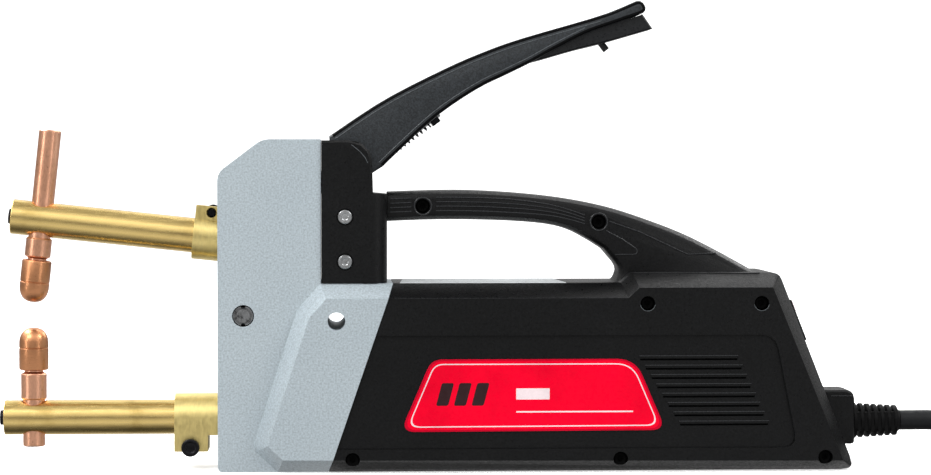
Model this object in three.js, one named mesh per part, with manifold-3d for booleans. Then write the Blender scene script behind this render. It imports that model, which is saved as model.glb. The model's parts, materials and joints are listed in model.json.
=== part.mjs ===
// A hand-held resistance spot welder. Two horizontal arms carry copper electrodes. The upper arm
// turns about a pin in the metal front cover when the long hand lever is squeezed, and the lever's
// peg then presses the switch in the handle. The transformer, its single copper turn and the timer
// board sit in the two-part plastic housing.
//
// Millimetres. x runs from the electrodes to the cable, y across, z up. The part stands on z = 0.
import * as THREE from "three";
import { mergeVertices } from "three/addons/utils/BufferGeometryUtils.js";
import Module from "manifold-3d";

const wasm = await Module();
wasm.setup();

// Driving dimensions
const GAP = 0.3; // between pieces that touch
const HALF_WIDTH = 42; // of the body
const PLATE_HALF = 30; // of the thin front plates
const COLUMN_HALF = 31;
const HANDLE_HALF = 17;
const LEVER_HALF = 15;
const WALL = 3;
const EDGE = 7.5; // the body's long side chamfer, seen from the side
const EDGE_DEPTH = 12; // and its depth across
const HEIGHT = 107; // of the body's rear part
const FRONT_X = -128; // the front plates' front edge
const PLATE_TOP = 179.2;
const COLUMN_LEFT = -72.2;
const COLUMN_RIGHT = -36.7;
const DECK = 101.5; // the body's flat top under the handle
const SLANT_FOOT = -68.4; // x where the line between front cover and housing meets z = 0
const SLANT_RUN = 34.8; // and how far it leans towards the rear by z = DECK

const ARM_PIVOT = { x: -114.3, z: 84.2 };
const OPEN_TILT = THREE.MathUtils.degToRad(6.05); // the upper arm's tilt at rest
const ARM_RADIUS = 9.5;
const ARM_ABOVE_PIVOT = 39.5;
const LOWER_ARM_Z = 27.4;
const LOWER_END = -247.5; // tip of the lower arm's end screw
const TIP_FROM_PIVOT = -115.5; // the upper electrode's place along its arm
const LOWER_TIP = { x: -229.3, z: 76.5 };
const BORE = ARM_RADIUS + GAP;

const LEVER_PIVOT = { x: -55.5, z: 171.3 };
const LINK_LEVER = { x: -55.5, z: 156.67 };
const LINK_ARM = { x: 6.4, z: 71.3 }; // in the upper arm's own frame
const PIN_RADIUS = 4;
const SPRING_START = { x: -37.3, z: 172.9 };
const SPRING_TILT = THREE.MathUtils.degToRad(36.9);

const SUSPENSION_HOLE = { x: -64.2, z: 81.8, radius: 4.75 };
const HOUSING_SCREWS = [
  { name: "housing_screw_1", x: -17.2, z: 143, face: HANDLE_HALF },
  { name: "housing_screw_2", x: 78.8, z: 134.3, face: HANDLE_HALF },
  { name: "housing_screw_3", x: 102.8, z: 91, face: HALF_WIDTH },
  { name: "housing_screw_4", x: 164.4, z: 91, face: HALF_WIDTH },
  { name: "housing_screw_5", x: -55.6, z: 7.4, face: HALF_WIDTH },
  { name: "housing_screw_6", x: 88.3, z: 7.4, face: HALF_WIDTH },
  { name: "housing_screw_7", x: 199.2, z: 7.8, face: HALF_WIDTH },
];
const COLUMN_SCREW_X = -59.5;
const COLUMN_SCREW_Z = [137.4, 113.2];
const LOUVERS = 8;
const RECESS = 1.4; // depth of the sunk side panel

const SWITCH_X = 91.8;
const BUTTON_TOP = 137.4;
const DIAL_Z = 78;
const REAR_TOP = 175.6; // x of the rear edge at the top
const REAR_FOOT = 217.5; // and at the bottom
const CABLE_Z = 23.8;
const CABLE_RADIUS = 5.5;
const RELIEF_END = 247.5;
const HANK = { left: 334, right: 422, y: 36, bend: 36, low: 1.2, high: 56.4 };
const PLUG = { start: 384, z: 74.2 };

// Materials
function surface(color, roughness, metalness) {
  return new THREE.MeshStandardMaterial({ color, roughness, metalness });
}
const GREY_PAINT = surface(0xb2bec4, 0.45, 0.3);
const BLACK_PLASTIC = surface(0x1e2023, 0.5, 0);
const LEVER_PLASTIC = surface(0x26292c, 0.45, 0);
const BRASS = surface(0xcbb15c, 0.3, 1);
const COPPER = surface(0xc87d5f, 0.35, 1);
const BLACK_STEEL = surface(0x1a1a1c, 0.4, 0.9);
const STEEL = surface(0xa8abae, 0.3, 1);
const RUBBER = surface(0x141516, 0.8, 0);
const LABEL_RED = surface(0xe3002f, 0.3, 0);
const LAMINATION = surface(0x6b6f73, 0.5, 0.8);
const VARNISH = surface(0x8a4a22, 0.5, 0);
const BOARD_GREEN = surface(0x1d5b3a, 0.6, 0);

// ---- Shapes ----

// A geometry as a solid that can be joined and cut.
function solid(geometry) {
  const bare = geometry.clone();
  bare.deleteAttribute("normal");
  bare.deleteAttribute("uv");
  const merged = mergeVertices(bare, 1e-4);
  return new wasm.Manifold(
    new wasm.Mesh({
      numProp: 3,
      vertProperties: merged.attributes.position.array,
      triVerts: new Uint32Array(merged.index.array),
    }),
  );
}

function union(...solids) {
  return solids.reduce((all, next) => all.add(next));
}

function cut(body, ...tools) {
  return tools.reduce((left, tool) => left.subtract(tool), body);
}

// A closed outline in x and z. A corner [x, z, reach] is rounded from that far along both its sides.
function outline(corners) {
  const shape = new THREE.Shape();
  corners.forEach(([x, z, reach = 0], i) => {
    const corner = new THREE.Vector2(x, z);
    const sides = [corners.at(i - 1), corners[(i + 1) % corners.length]];
    const [from, to] = sides.map(([nearX, nearZ]) =>
      new THREE.Vector2(nearX, nearZ).sub(corner).setLength(reach).add(corner),
    );
    if (i === 0) shape.moveTo(from.x, from.y);
    else shape.lineTo(from.x, from.y);
    if (reach) shape.quadraticCurveTo(x, z, to.x, to.y);
  });
  return shape;
}

// The same outline with its corners left sharp, which can be inset without turning inside out.
function sharpOutline(corners) {
  return outline(corners.map(([x, z]) => [x, z]));
}

function points(list) {
  return list.map(([x, z]) => new THREE.Vector2(x, z));
}

// An outline as a solid from y = low to y = high. inset shrinks the outline all round, and chamfer
// takes that much more off it at both ends, over a depth of slope, in one face or in several.
function slab(shape, low, high, { inset = 0, chamfer = 0, slope = 0.4, faces = 1 } = {}) {
  const bevelEnabled = inset + chamfer > 0;
  const edge = bevelEnabled ? slope : 0;
  const geometry = new THREE.ExtrudeGeometry(shape, {
    depth: high - low - 2 * edge,
    curveSegments: 3,
    bevelEnabled,
    bevelThickness: slope,
    bevelSize: chamfer,
    bevelOffset: -inset - chamfer,
    bevelSegments: faces,
  });
  geometry.translate(0, 0, edge).rotateX(Math.PI / 2).translate(0, high, 0);
  return solid(geometry);
}

// An outline in x and y as a solid from z = low to z = high.
function upright(shape, low, high) {
  const settings = { depth: high - low, bevelEnabled: false, curveSegments: 8 };
  return solid(new THREE.ExtrudeGeometry(shape, settings).translate(0, 0, low));
}

function block(x0, x1, y0, y1, z0, z1) {
  const geometry = new THREE.BoxGeometry(x1 - x0, y1 - y0, z1 - z0);
  geometry.translate((x0 + x1) / 2, (y0 + y1) / 2, (z0 + z1) / 2);
  return solid(geometry);
}

// A round bar between two points [x, y, z].
function bar(start, end, radius, sides = 24) {
  const from = new THREE.Vector3(...start);
  const axis = new THREE.Vector3(...end).sub(from);
  const geometry = new THREE.CylinderGeometry(radius, radius, axis.length(), sides);
  geometry.translate(0, axis.length() / 2, 0);
  const turn = new THREE.Quaternion();
  turn.setFromUnitVectors(new THREE.Vector3(0, 1, 0), axis.normalize());
  geometry.applyQuaternion(turn);
  geometry.translate(from.x, from.y, from.z);
  return solid(geometry);
}

function barY({ x, z }, radius, low, high, sides = 24) {
  return bar([x, low, z], [x, high, z], radius, sides);
}

function barX(z, radius, low, high, sides = 24) {
  return bar([low, 0, z], [high, 0, z], radius, sides);
}

// A profile of [radius, height] points, listed upwards on its outside, turned about the z axis.
function turned(profile, sides = 24) {
  return solid(new THREE.LatheGeometry(points(profile), sides).rotateX(Math.PI / 2));
}

function mirrorY(body) {
  return body.mirror([0, 1, 0]);
}

function part(name, body, material, group) {
  const source = body.getMesh();
  const geometry = new THREE.BufferGeometry();
  geometry.setAttribute("position", new THREE.BufferAttribute(source.vertProperties, 3));
  geometry.setIndex(new THREE.BufferAttribute(source.triVerts, 1));
  geometry.computeVertexNormals();
  const mesh = new THREE.Mesh(geometry, material);
  mesh.name = name;
  group.add(mesh);
  return mesh;
}

// The near (-y) and far (+y) halves of a body, with the gap between them at y = 0.
function halves(body) {
  const near = block(-300, 300, -60, -GAP / 2, -20, 300);
  const far = block(-300, 300, GAP / 2, 60, -20, 300);
  return { near: body.intersect(near), far: body.intersect(far) };
}

// ---- Body, front cover and handle ----

const BODY_CORNERS = [
  [-95.7, 0],
  [REAR_FOOT, 0, 8],
  [REAR_TOP, HEIGHT, 4],
  [95.5, HEIGHT],
  [89.5, DECK],
  [-73, DECK],
  [-85.4, 87.4],
  [-108.8, 15.8],
  [-107.5, 10.9],
];

function slantX(z) {
  return SLANT_FOOT + (SLANT_RUN * z) / DECK;
}

function rearX(z) {
  return REAR_FOOT + ((REAR_TOP - REAR_FOOT) * z) / HEIGHT;
}

// The chamfered body that the front cover and the housing share.
function bodyShape() {
  const edge = { chamfer: EDGE, slope: EDGE_DEPTH };
  const chamfered = slab(sharpOutline(BODY_CORNERS), -HALF_WIDTH, HALF_WIDTH, edge);
  return chamfered.intersect(slab(outline(BODY_CORNERS), -HALF_WIDTH, HALF_WIDTH));
}

// Its inside, a wall in from it on every face.
function bodyCavity() {
  const half = HALF_WIDTH - WALL;
  const edge = { inset: WALL, chamfer: EDGE - 2, slope: EDGE_DEPTH - 2 };
  return slab(sharpOutline(BODY_CORNERS), -half, half, edge);
}

function frontCover() {
  const plate = [
    [FRONT_X, 0, 3],
    [-50, 0],
    [-50, PLATE_TOP],
    [-104, PLATE_TOP, 4],
    [FRONT_X, 161, 4],
  ];
  const edge = [
    [-140, -5],
    [slantX(-5) - GAP / 2, -5],
    [slantX(DECK) - GAP / 2, DECK + 0.1],
    [COLUMN_LEFT - GAP, DECK + 0.1],
    [COLUMN_LEFT - GAP, 200],
    [-140, 200],
  ];
  const shell = cut(
    union(slab(outline(plate), -PLATE_HALF, PLATE_HALF), bodyShape()),
    slab(sharpOutline(plate), WALL - PLATE_HALF, PLATE_HALF - WALL, { inset: WALL }),
    bodyCavity(),
  );
  const bossed = union(
    shell,
    barY(SUSPENSION_HOLE, SUSPENSION_HOLE.radius + 2.5, 1 - HALF_WIDTH, HALF_WIDTH - 1),
  );
  return cut(
    bossed.intersect(slab(outline(edge), -50, 50)),
    barY(SUSPENSION_HOLE, SUSPENSION_HOLE.radius, -50, 50),
    barY(ARM_PIVOT, 5.9, -50, 50),
    block(FRONT_X - 2, FRONT_X + 4, -15, 15, 5, 44), // for the lower arm's holder
    block(FRONT_X - 2, FRONT_X + 4, -15, 15, 103, 153), // for the upper arm's holder
    block(-69, -42, -26, 26, 95, DECK + 1), // into the column
  );
}

function handleShape() {
  const shape = new THREE.Shape();
  shape.moveTo(COLUMN_RIGHT - 10, 134.2);
  shape.splineThru(
    points([
      [-12, 135.6],
      [21, 135.3],
      [47, 133.6],
      [62, 130.3],
      [73, 124.9],
      [82, 119.3],
    ]),
  );
  shape.lineTo(88.2, 112);
  shape.quadraticCurveTo(91.2, 108.4, 89.4, 105);
  shape.lineTo(86, 98);
  shape.lineTo(168, 98);
  shape.lineTo(165.5, 106.7);
  shape.splineThru(
    points([
      [145.6, 117.7],
      [125.8, 127.6],
      [106, 135.3],
      [86.2, 141.8],
      [66.5, 146.2],
      [46.8, 149],
      [20.6, 151.1],
      [-5.6, 151.7],
      [COLUMN_RIGHT - 10, 150.4],
    ]),
  );
  return shape;
}

function screwBores() {
  return union(
    ...HOUSING_SCREWS.flatMap((screw) => [
      barY(screw, 4, -screw.face - 3, 6 - screw.face, 16),
      barY(screw, 2.2, -screw.face, 15, 12),
    ]),
  );
}

function screwBosses(body) {
  const bosses = HOUSING_SCREWS.map((screw) =>
    barY(screw, 5.6, 1.5 - screw.face, screw.face - 1.5, 16),
  );
  return union(...bosses).intersect(body);
}

function sunkPanel() {
  const shape = outline([
    [-90, 13.1],
    [184, 13.1, 8],
    [172, 74, 8],
    [-90, 74],
  ]);
  return union(
    slab(shape, -HALF_WIDTH - 3, RECESS - HALF_WIDTH),
    slab(shape, HALF_WIDTH - RECESS, HALF_WIDTH + 3),
  );
}

function louverSlots() {
  const slots = Array.from({ length: LOUVERS }, (_, i) => {
    const z = 61.4 - 5.03 * i;
    return block(98.8 + 3.1 * i, 151.3 + 2.4 * i, -50, 50, z - 1.1, z + 1.1);
  });
  return union(...slots).subtract(block(90, 180, 20 - HALF_WIDTH, HALF_WIDTH - 20, 0, 100));
}

// A round bar along the rear face's normal through the dial's centre, between two distances from it.
function dialBar(radius, low, high, sides = 24) {
  const lean = Math.atan2(REAR_FOOT - REAR_TOP, HEIGHT);
  const along = (t) => [rearX(DIAL_Z) + t * Math.cos(lean), 0, DIAL_Z + t * Math.sin(lean)];
  return bar(along(low), along(high), radius, sides);
}

function housing() {
  const outer = union(
    bodyShape(),
    slab(handleShape(), -HANDLE_HALF, HANDLE_HALF, { chamfer: 4.2, slope: 7, faces: 3 }),
  );
  const inner = union(
    bodyCavity(),
    slab(handleShape(), WALL - HANDLE_HALF, HANDLE_HALF - WALL, { inset: WALL }),
  );
  const region = outline([
    [slantX(-5) + GAP / 2, -5],
    [260, -5],
    [260, 200],
    [COLUMN_RIGHT + GAP, 200],
    [COLUMN_RIGHT + GAP, DECK + 1],
    [slantX(DECK + 1) + GAP / 2, DECK + 1],
  ]);
  const shell = union(
    cut(outer, inner),
    screwBosses(outer),
    dialBar(18, -7, -1).intersect(outer),
  );
  return cut(
    shell.intersect(slab(region, -50, 50)),
    sunkPanel(),
    louverSlots(),
    screwBores(),
    dialBar(15, -4, 6),
    dialBar(3.6, -9, 1, 12),
    block(180, 230, -13 - GAP, 13 + GAP, 11.9 - GAP, 41.6 + GAP), // for the cable gland
    barY0(SWITCH_X, 4.8, 133, 150), // for the switch button
  );
}

// A short upright bar at y = 0.
function barY0(x, radius, low, high, sides = 24) {
  return bar([x, 0, low], [x, 0, high], radius, sides);
}

// The column seen from above, with rounded rear corners, and its inside the same way.
function columnPlan(inset) {
  const half = COLUMN_HALF - inset;
  const rear = COLUMN_RIGHT - inset;
  const shape = new THREE.Shape();
  shape.moveTo(-95, -half);
  shape.lineTo(-45.5 - inset, -half);
  shape.quadraticCurveTo(rear, -half, rear, 10 - half);
  shape.lineTo(rear, half - 10);
  shape.quadraticCurveTo(rear, half, -45.5 - inset, half);
  shape.lineTo(-95, half);
  return upright(shape, 80, 200);
}

function column() {
  const shape = new THREE.Shape();
  shape.moveTo(-90, 85);
  shape.lineTo(COLUMN_RIGHT, 85);
  shape.lineTo(COLUMN_RIGHT, 149.6);
  shape.lineTo(-44.4, 150.2);
  shape.lineTo(-44.9, 167);
  shape.quadraticCurveTo(-45.6, 177.6, -57, 178.6);
  shape.lineTo(-90, 178.6);
  const roofSlot = block(-95, -30, -16.3, 16.3, 151.5, 190);
  const shell = cut(
    slab(shape, -COLUMN_HALF, COLUMN_HALF, { chamfer: 1.2, slope: 1.2 }).intersect(columnPlan(0)),
    slab(shape, -COLUMN_HALF, COLUMN_HALF, { inset: WALL }).intersect(columnPlan(WALL)),
    roofSlot,
  );
  const pinBosses = union(
    barY(LEVER_PIVOT, 7, 1 - COLUMN_HALF, -17),
    barY(LEVER_PIVOT, 7, 17, COLUMN_HALF - 1),
  );
  const ends = COLUMN_HALF - 1.5;
  const screwHoles = COLUMN_SCREW_Z.flatMap((z) => {
    const at = { x: COLUMN_SCREW_X, z };
    return [
      barY(at, 2.3, -40, 40, 12),
      barY(at, 4.7, -40, 1.4 - COLUMN_HALF, 16),
      barY(at, 4.7, COLUMN_HALF - 1.4, 40, 16),
    ];
  });
  const space = block(COLUMN_LEFT, 0, -50, 50, DECK + 0.4, 200);
  return cut(
    union(shell, pinBosses).intersect(space),
    barY(LEVER_PIVOT, PIN_RADIUS + 0.2, -ends, ends),
    ...screwHoles,
  );
}

// ---- Fasteners ----

function housingScrew({ x, z, face }) {
  const seat = 6 - face;
  const recess = barY({ x, z }, 1.6, seat - 3.6, seat - 2, 6);
  const head = barY({ x, z }, 3.5, seat - 3.2, seat - GAP, 16);
  return cut(union(head, barY({ x, z }, 1.8, seat - 1, 12, 12)), recess);
}

function columnScrew(z) {
  const at = { x: COLUMN_SCREW_X, z };
  const seat = 1.4 - COLUMN_HALF - GAP;
  const head = barY(at, 3.9, seat - 1.8, seat, 16);
  return cut(
    union(head, barY(at, 1.9, seat - 0.5, seat + 10, 12)),
    barY(at, 1.5, seat - 3, seat - 0.8, 6),
  );
}

function clampScrew(at, side, headRadius, shankRadius) {
  const head = barY(at, headRadius, -side - 5, -side - GAP, 16);
  const shank = barY(at, shankRadius, -side - 1, side, 12);
  return cut(union(head, shank), barY(at, headRadius * 0.5, -side - 6, -side - 2.5, 6));
}

function endScrew(z, low, high) {
  return cut(barX(z, 4.1, low, high, 16), barX(z, 2.3, low - 1, low + 3, 6));
}

// A pin across the part, with two spanner notches in each end.
function notchedPin(at, radius, half) {
  const notches = [-1, 1].flatMap((end) =>
    [-1, 1].map((side) => {
      const y = end * half;
      const z = at.z + side * radius;
      return block(at.x - 1.7, at.x + 1.7, y - 2, y + 2, z - 1.6, z + 1.6);
    }),
  );
  return cut(barY(at, radius, -half, half), ...notches);
}

// ---- Arms and electrodes ----

// The electrode cap's tip is at 0 and it opens upwards.
function cap() {
  return turned([
    [0, 0],
    [3, 0.4],
    [5.6, 1.8],
    [7.3, 4.4],
    [8, 7.6],
    [8, 22.2],
    [7.1, 23.1],
    [5.3, 23.1],
    [5.3, 10.9],
    [0, 10.9],
  ]);
}

// The electrode that fits the cap: nose, shoulder and shank, in the cap's frame.
function electrode(shoulderEnd, end) {
  return turned([
    [0, 11.3],
    [5, 11.3],
    [5, 23.6],
    [7, 25.2],
    [7, shoulderEnd],
    [6, shoulderEnd],
    [6, end - 1],
    [5.2, end],
    [0, end],
  ]);
}

function upperHolder() {
  const web = outline([
    [-13, 30],
    [-9.5, 24],
    [-9.5, -2],
    [9, -2],
    [12, 45],
    [13.9, 71],
    [12, 78, 2],
    [1, 78, 2],
    [-4, 70],
    [-6, 56],
    [-13, 56],
  ]);
  const body = union(
    barX(ARM_ABOVE_PIVOT, 12.8, -32, 0, 32),
    block(-32, -2, -9, 9, ARM_ABOVE_PIVOT, 56.3),
    slab(web, -9, 9),
    barY({ x: 0, z: 0 }, 10.4, -26.4, 26.4),
  );
  return cut(
    body,
    barX(ARM_ABOVE_PIVOT, BORE, -34, -4.5, 32),
    block(-34, -13, -0.8, 0.8, 45, 60),
    barY({ x: -23.4, z: 53 }, 2.8, -20, 20, 12),
    barY({ x: 0, z: 0 }, 5.95, -40, 40),
    block(-2, 20, -4.7, 4.7, 62, 85),
    barY(LINK_ARM, PIN_RADIUS + 0.2, -20, 20),
  );
}

function upperArm() {
  return cut(
    barX(ARM_ABOVE_PIVOT, ARM_RADIUS, -131.4, -5.2, 32),
    barY0(TIP_FROM_PIVOT, 6.3, 20, 60),
    barX(ARM_ABOVE_PIVOT, 4.4, -140, TIP_FROM_PIVOT, 16),
  );
}

function lowerHolder() {
  const z = LOWER_ARM_Z;
  const body = union(
    barX(z, 13, -152.3, -96, 32),
    block(-152.3, -96, -13, 13, 18.4, z),
    block(-152.3, -134, -13, 13, 9.4, z),
    block(-113, -76, -20, 20, 8, 44),
  );
  return cut(
    body,
    barX(z, BORE, -160, -111.5, 32),
    block(-160, -133, -1.5, 1.5, 0, 24),
    block(-160, -124, -20, 20, 0, 9.39),
    block(-133.9, -124, -20, 20, 0, 18.39),
    barY({ x: -143.4, z: 12 }, 3.1, -20, 20, 12),
  );
}

function lowerArm() {
  return cut(
    barX(LOWER_ARM_Z, ARM_RADIUS, -245.1, -112, 32),
    barY0(LOWER_TIP.x, 6.3, 0, 60),
    barX(LOWER_ARM_Z, 4.4, -250, LOWER_TIP.x, 16),
  );
}

// ---- Hand lever ----

function leverShape() {
  const shape = new THREE.Shape();
  shape.moveTo(-68, 181);
  shape.lineTo(-67, 165);
  shape.quadraticCurveTo(-64.5, 150.3, -55.5, 150);
  shape.quadraticCurveTo(-47.5, 150.4, -46.8, 159.5);
  shape.lineTo(-38.7, 164.6);
  shape.splineThru(
    points([
      [-33.1, 170.1],
      [-9.8, 191.5],
      [12.6, 206.7],
      [30.2, 215.4],
      [42, 221.2],
      [55.7, 228.8],
      [72.6, 237.3],
      [101.4, 247.4],
    ]),
  );
  shape.quadraticCurveTo(105.3, 248.6, 104.5, 251.4);
  shape.quadraticCurveTo(103.2, 255.6, 99.6, 254.8);
  shape.splineThru(
    points([
      [79.5, 246.7],
      [37.8, 234.5],
      [17, 227.2],
      [-5.6, 217.4],
      [-38.3, 200.6],
      [-68, 181],
    ]),
  );
  return shape;
}

function lever() {
  const channel = new THREE.Shape();
  channel.moveTo(-37, 197.6);
  channel.lineTo(-37, 140);
  channel.lineTo(97, 215);
  channel.lineTo(97, 249.6);
  channel.splineThru(
    points([
      [80.4, 243.4],
      [38.9, 231.3],
      [18.3, 224],
      [-4, 214.3],
      [-37, 197.6],
    ]),
  );
  return cut(
    slab(leverShape(), -LEVER_HALF, LEVER_HALF, { chamfer: 2, slope: 2.4, faces: 3 }),
    slab(channel, 3 - LEVER_HALF, LEVER_HALF - 3),
    block(-80, -40, -4.7, 4.7, 140, 163.6),
    barY(LEVER_PIVOT, PIN_RADIUS + 0.2, -20, 20),
    barY(LINK_LEVER, PIN_RADIUS + 0.2, -20, 20),
  );
}

// The wedge in the lever's channel, with the peg that presses the switch.
function leverInsert() {
  const shape = new THREE.Shape();
  shape.moveTo(36, 220);
  shape.splineThru(
    points([
      [47.8, 222.9],
      [65.5, 228],
      [83, 232.4],
      [108.6, 239.8],
    ]),
  );
  shape.lineTo(103.2, 247.6);
  shape.lineTo(96.2, 247.6);
  shape.lineTo(80, 241.9);
  shape.lineTo(50, 233.2);
  shape.lineTo(36, 224);
  const reach = LEVER_HALF - 3 - GAP;
  const wedge = slab(shape, -reach, reach, { chamfer: 0.8, slope: 0.8 });
  const clear = slab(leverShape(), -LEVER_HALF, LEVER_HALF).intersect(
    block(96.5, 110, -20, 20, 230, 260),
  );
  return union(cut(wedge, grown(clear)), bar([78, 0, 236.7], [84.4, 0, 228.4], 1.9, 12));
}

// The lever's tip, moved a gap down and back, so that the wedge stays clear of it.
function grown(body) {
  return union(body, body.translate([0, 0, -GAP]), body.translate([GAP, 0, -GAP]));
}

function pressureSpring() {
  const turns = 8;
  const pitch = 2.9;
  class Helix extends THREE.Curve {
    getPoint(t, target = new THREE.Vector3()) {
      const angle = t * turns * 2 * Math.PI;
      return target.set(4.3 * Math.cos(angle), 4.3 * Math.sin(angle), t * turns * pitch);
    }
  }
  const wire = new THREE.Shape().absarc(0, 0, 0.6, 0, 2 * Math.PI);
  const geometry = new THREE.ExtrudeGeometry(wire, {
    steps: turns * 10,
    curveSegments: 3,
    extrudePath: new Helix(),
  });
  return solid(geometry);
}

function pushLink(length) {
  const shape = outline([
    [-length - 6.2, -6.2, 6],
    [6.2, -6.2, 6],
    [6.2, 6.2, 6],
    [-length - 6.2, 6.2, 6],
  ]);
  return cut(
    slab(shape, -4.3, 4.3),
    barY({ x: 0, z: 0 }, PIN_RADIUS + 0.2, -10, 10),
    barY({ x: -length, z: 0 }, PIN_RADIUS + 0.95, -10, 10),
  );
}

// ---- Electrical parts ----

function transformerCore() {
  return cut(
    block(-22, 74, -22, 22, 10, 90),
    block(-6, 10, -30, 30, 26, 74),
    block(42, 58, -30, 30, 26, 74),
  );
}

// A winding about the core's middle leg, between two heights.
function winding(outerHalf, low, high) {
  return cut(
    block(-5.6, 57.6, -outerHalf, outerHalf, low, high),
    block(9.6, 42.4, -22.4, 22.4, low - 1, high + 1),
  );
}

function secondaryTurn() {
  const ring = cut(winding(34, 51, 73.6), block(-10, 9, -3, 3, 40, 80));
  return union(
    ring,
    block(-74, -5, -33, -23.5, 51, 61),
    block(-74, -64, -33, 18, 51, 61),
    block(-5.5, 2, -33, -3.4, 51, 61),
  );
}

// The laminated copper strap from the transformer to the back of the upper holder.
function flexibleShunt() {
  const shape = new THREE.Shape();
  shape.moveTo(-74.5, 52);
  shape.lineTo(-78, 52);
  shape.quadraticCurveTo(-99, 52, -99, 74);
  shape.lineTo(-99, 92);
  shape.lineTo(-95.5, 92);
  shape.lineTo(-95.5, 74);
  shape.quadraticCurveTo(-95.5, 56, -78, 56);
  shape.lineTo(-74.5, 56);
  return slab(shape, -9, 9);
}

function strainRelief() {
  const ribs = 7;
  const start = 221;
  const pitch = (RELIEF_END - start) / ribs;
  const profile = [[0, 0]];
  for (let i = 0; i < ribs; i += 1) {
    const radius = 9.8 - (1.2 * i) / (ribs - 1);
    const low = i * pitch;
    profile.push([radius, low]);
    profile.push([radius, low + pitch * 0.6]);
    if (i < ribs - 1) profile.push([radius - 1.4, low + pitch * 0.62]);
    if (i < ribs - 1) profile.push([radius - 1.4, low + pitch * 0.98]);
  }
  profile.push([8.4, ribs * pitch]);
  profile.push([0, ribs * pitch]);
  const geometry = new THREE.LatheGeometry(points(profile), 16);
  geometry.rotateZ(-Math.PI / 2).translate(start, 0, CABLE_Z);
  return solid(geometry);
}

function cableGland() {
  const shape = outline([
    [192, 11.9],
    [220.5, 11.9, 2],
    [220.5, 41.6, 5],
    [192, 41.6],
  ]);
  return slab(shape, -13, 13, { chamfer: 1, slope: 1 });
}

function timerDial() {
  const lean = Math.atan2(REAR_FOOT - REAR_TOP, HEIGHT);
  const ridge = new THREE.BoxGeometry(2.4, 4, 24);
  ridge.translate(3.6, 0, 0).rotateY(-lean).translate(rearX(DIAL_Z), 0, DIAL_Z);
  return union(dialBar(13.5, -3.6, 2.8, 20), dialBar(3, -8.4, -3, 12), solid(ridge));
}

// ---- Cable ----

// A tube along the points of its route.
function tube(route) {
  const path = new THREE.CatmullRomCurve3(route.map((p) => new THREE.Vector3(...p)));
  const ring = new THREE.Shape().absarc(0, 0, CABLE_RADIUS, 0, 2 * Math.PI);
  const length = path.getLength();
  const geometry = new THREE.ExtrudeGeometry(ring, {
    steps: Math.max(3, Math.round(length / (5 * CABLE_RADIUS))),
    curveSegments: 5,
    extrudePath: path,
  });
  return solid(geometry);
}

const CABLE_ROUTE = [
  [RELIEF_END + GAP, 0, CABLE_Z],
  [256, 0, CABLE_Z],
  [264, 0, CABLE_Z],
  [274, 0, 23],
  [284, 0, 20.6],
  [294, 0, 17.2],
  [300, 0, 14.9],
];
const TAIL_ROUTE = [
  [353, 0, 64.6],
  [360, 0, 67.8],
  [367, 0, 71.2],
  [374, 0, 73.7],
  [379, 0, 74.2],
  [PLUG.start - 3 * GAP, 0, PLUG.z],
];

// The cable's turns, as one ring of the shape that they are wound in.
function hank() {
  const loop = (radius) => {
    const shape = new THREE.Shape();
    shape.absarc(HANK.right, HANK.y, radius, -Math.PI / 2, Math.PI / 2);
    shape.absarc(HANK.left, HANK.y, radius, Math.PI / 2, 1.5 * Math.PI);
    return shape;
  };
  const outside = upright(loop(HANK.bend + CABLE_RADIUS), HANK.low, HANK.high);
  return cut(outside, upright(loop(HANK.bend - CABLE_RADIUS), HANK.low - 5, HANK.high + 5));
}

// A tie round the hank's far run.
function cableTie() {
  const middle = (HANK.left + HANK.right) / 2;
  const run = HANK.y + HANK.bend;
  const reach = CABLE_RADIUS + GAP;
  const band = 0.8;
  return cut(
    block(
      middle - 4,
      middle + 4,
      run - reach - band,
      run + reach + band,
      HANK.low - GAP - band,
      HANK.high + GAP + band,
    ),
    block(middle - 9, middle + 9, run - reach, run + reach, HANK.low - GAP, HANK.high + GAP),
  );
}

function plugBody() {
  const profile = [
    [0, 0],
    [7, 0],
    [8.5, 16],
    [16, 22],
    [17.4, 30],
    [17.4, 46],
    [0, 46],
  ];
  const geometry = new THREE.LatheGeometry(points(profile), 24);
  geometry.rotateZ(-Math.PI / 2).translate(PLUG.start, 0, PLUG.z);
  return solid(geometry);
}

function plugPin(offset) {
  const start = PLUG.start + 46 + GAP;
  return bar([start, offset, PLUG.z], [start + 19, offset, PLUG.z], 2.4, 12);
}

// ---- The whole part ----

const welder = new THREE.Group();

const cover = halves(frontCover());
part("front_cover_near", cover.near, GREY_PAINT, welder);
part("front_cover_far", cover.far, GREY_PAINT, welder);
const shell = halves(housing());
part("housing_near", shell.near, BLACK_PLASTIC, welder);
part("housing_far", shell.far, BLACK_PLASTIC, welder);
const post = halves(column());
part("column_near", post.near, BLACK_PLASTIC, welder);
part("column_far", post.far, BLACK_PLASTIC, welder);

HOUSING_SCREWS.forEach((screw) => part(screw.name, housingScrew(screw), BLACK_STEEL, welder));
COLUMN_SCREW_Z.forEach((z, i) => {
  part(`column_screw_near_${i + 1}`, columnScrew(z), STEEL, welder);
  part(`column_screw_far_${i + 1}`, mirrorY(columnScrew(z)), STEEL, welder);
});
const screwSeats = COLUMN_SCREW_Z.flatMap((z) => [
  barY({ x: COLUMN_SCREW_X, z }, 2.2, -40, -18, 12),
  barY({ x: COLUMN_SCREW_X, z }, 2.2, 18, 40, 12),
]);
const supportBlock = cut(block(-69, -47, -27.6, 27.6, 104, 144), ...screwSeats);
part("support_block", supportBlock, STEEL, welder);

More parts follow.
